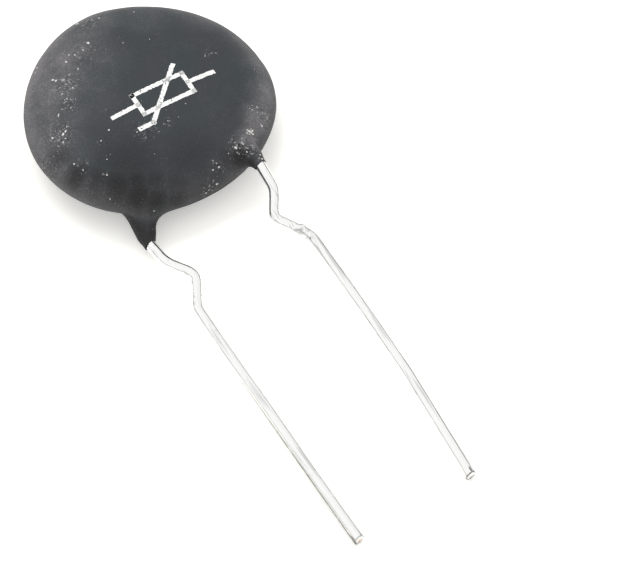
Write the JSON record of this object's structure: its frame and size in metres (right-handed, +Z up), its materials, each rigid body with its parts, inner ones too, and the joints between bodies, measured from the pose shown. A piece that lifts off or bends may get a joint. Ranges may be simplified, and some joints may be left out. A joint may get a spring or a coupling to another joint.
{
  "type": "inrush current limiter",
  "caption": "Disc thermistor in a dipped pillow-shaped resin coat, with radial kinked wire leads, which limits a circuit's switch-on current.",
  "frame": {"origin": "middle of the base of the part's box, on the surface that it lies on", "axes": "+Z up, nearly along the disc's axis; the leads run from the disc towards -Y, and +X is across them"},
  "size_m": [0.0174, 0.0446, 0.0053],
  "materials": {
    "coat_resin": "matt dipped silicone resin, grey-black, dusty",
    "ceramic": "sintered, dark and matt",
    "fired_silver": "fired silver film, satin",
    "solder": "solder, satin",
    "tinned_wire": "bright tin plate on steel wire"
  },
  "bodies": {
    "root": {"coating": "coat_resin", "ceramic_disc": "ceramic", "upper_electrode": "fired_silver", "lower_electrode": "fired_silver", "left_solder": "solder", "right_solder": "solder", "left_lead": "tinned_wire", "right_lead": "tinned_wire"}
  },
  "joints": []
}
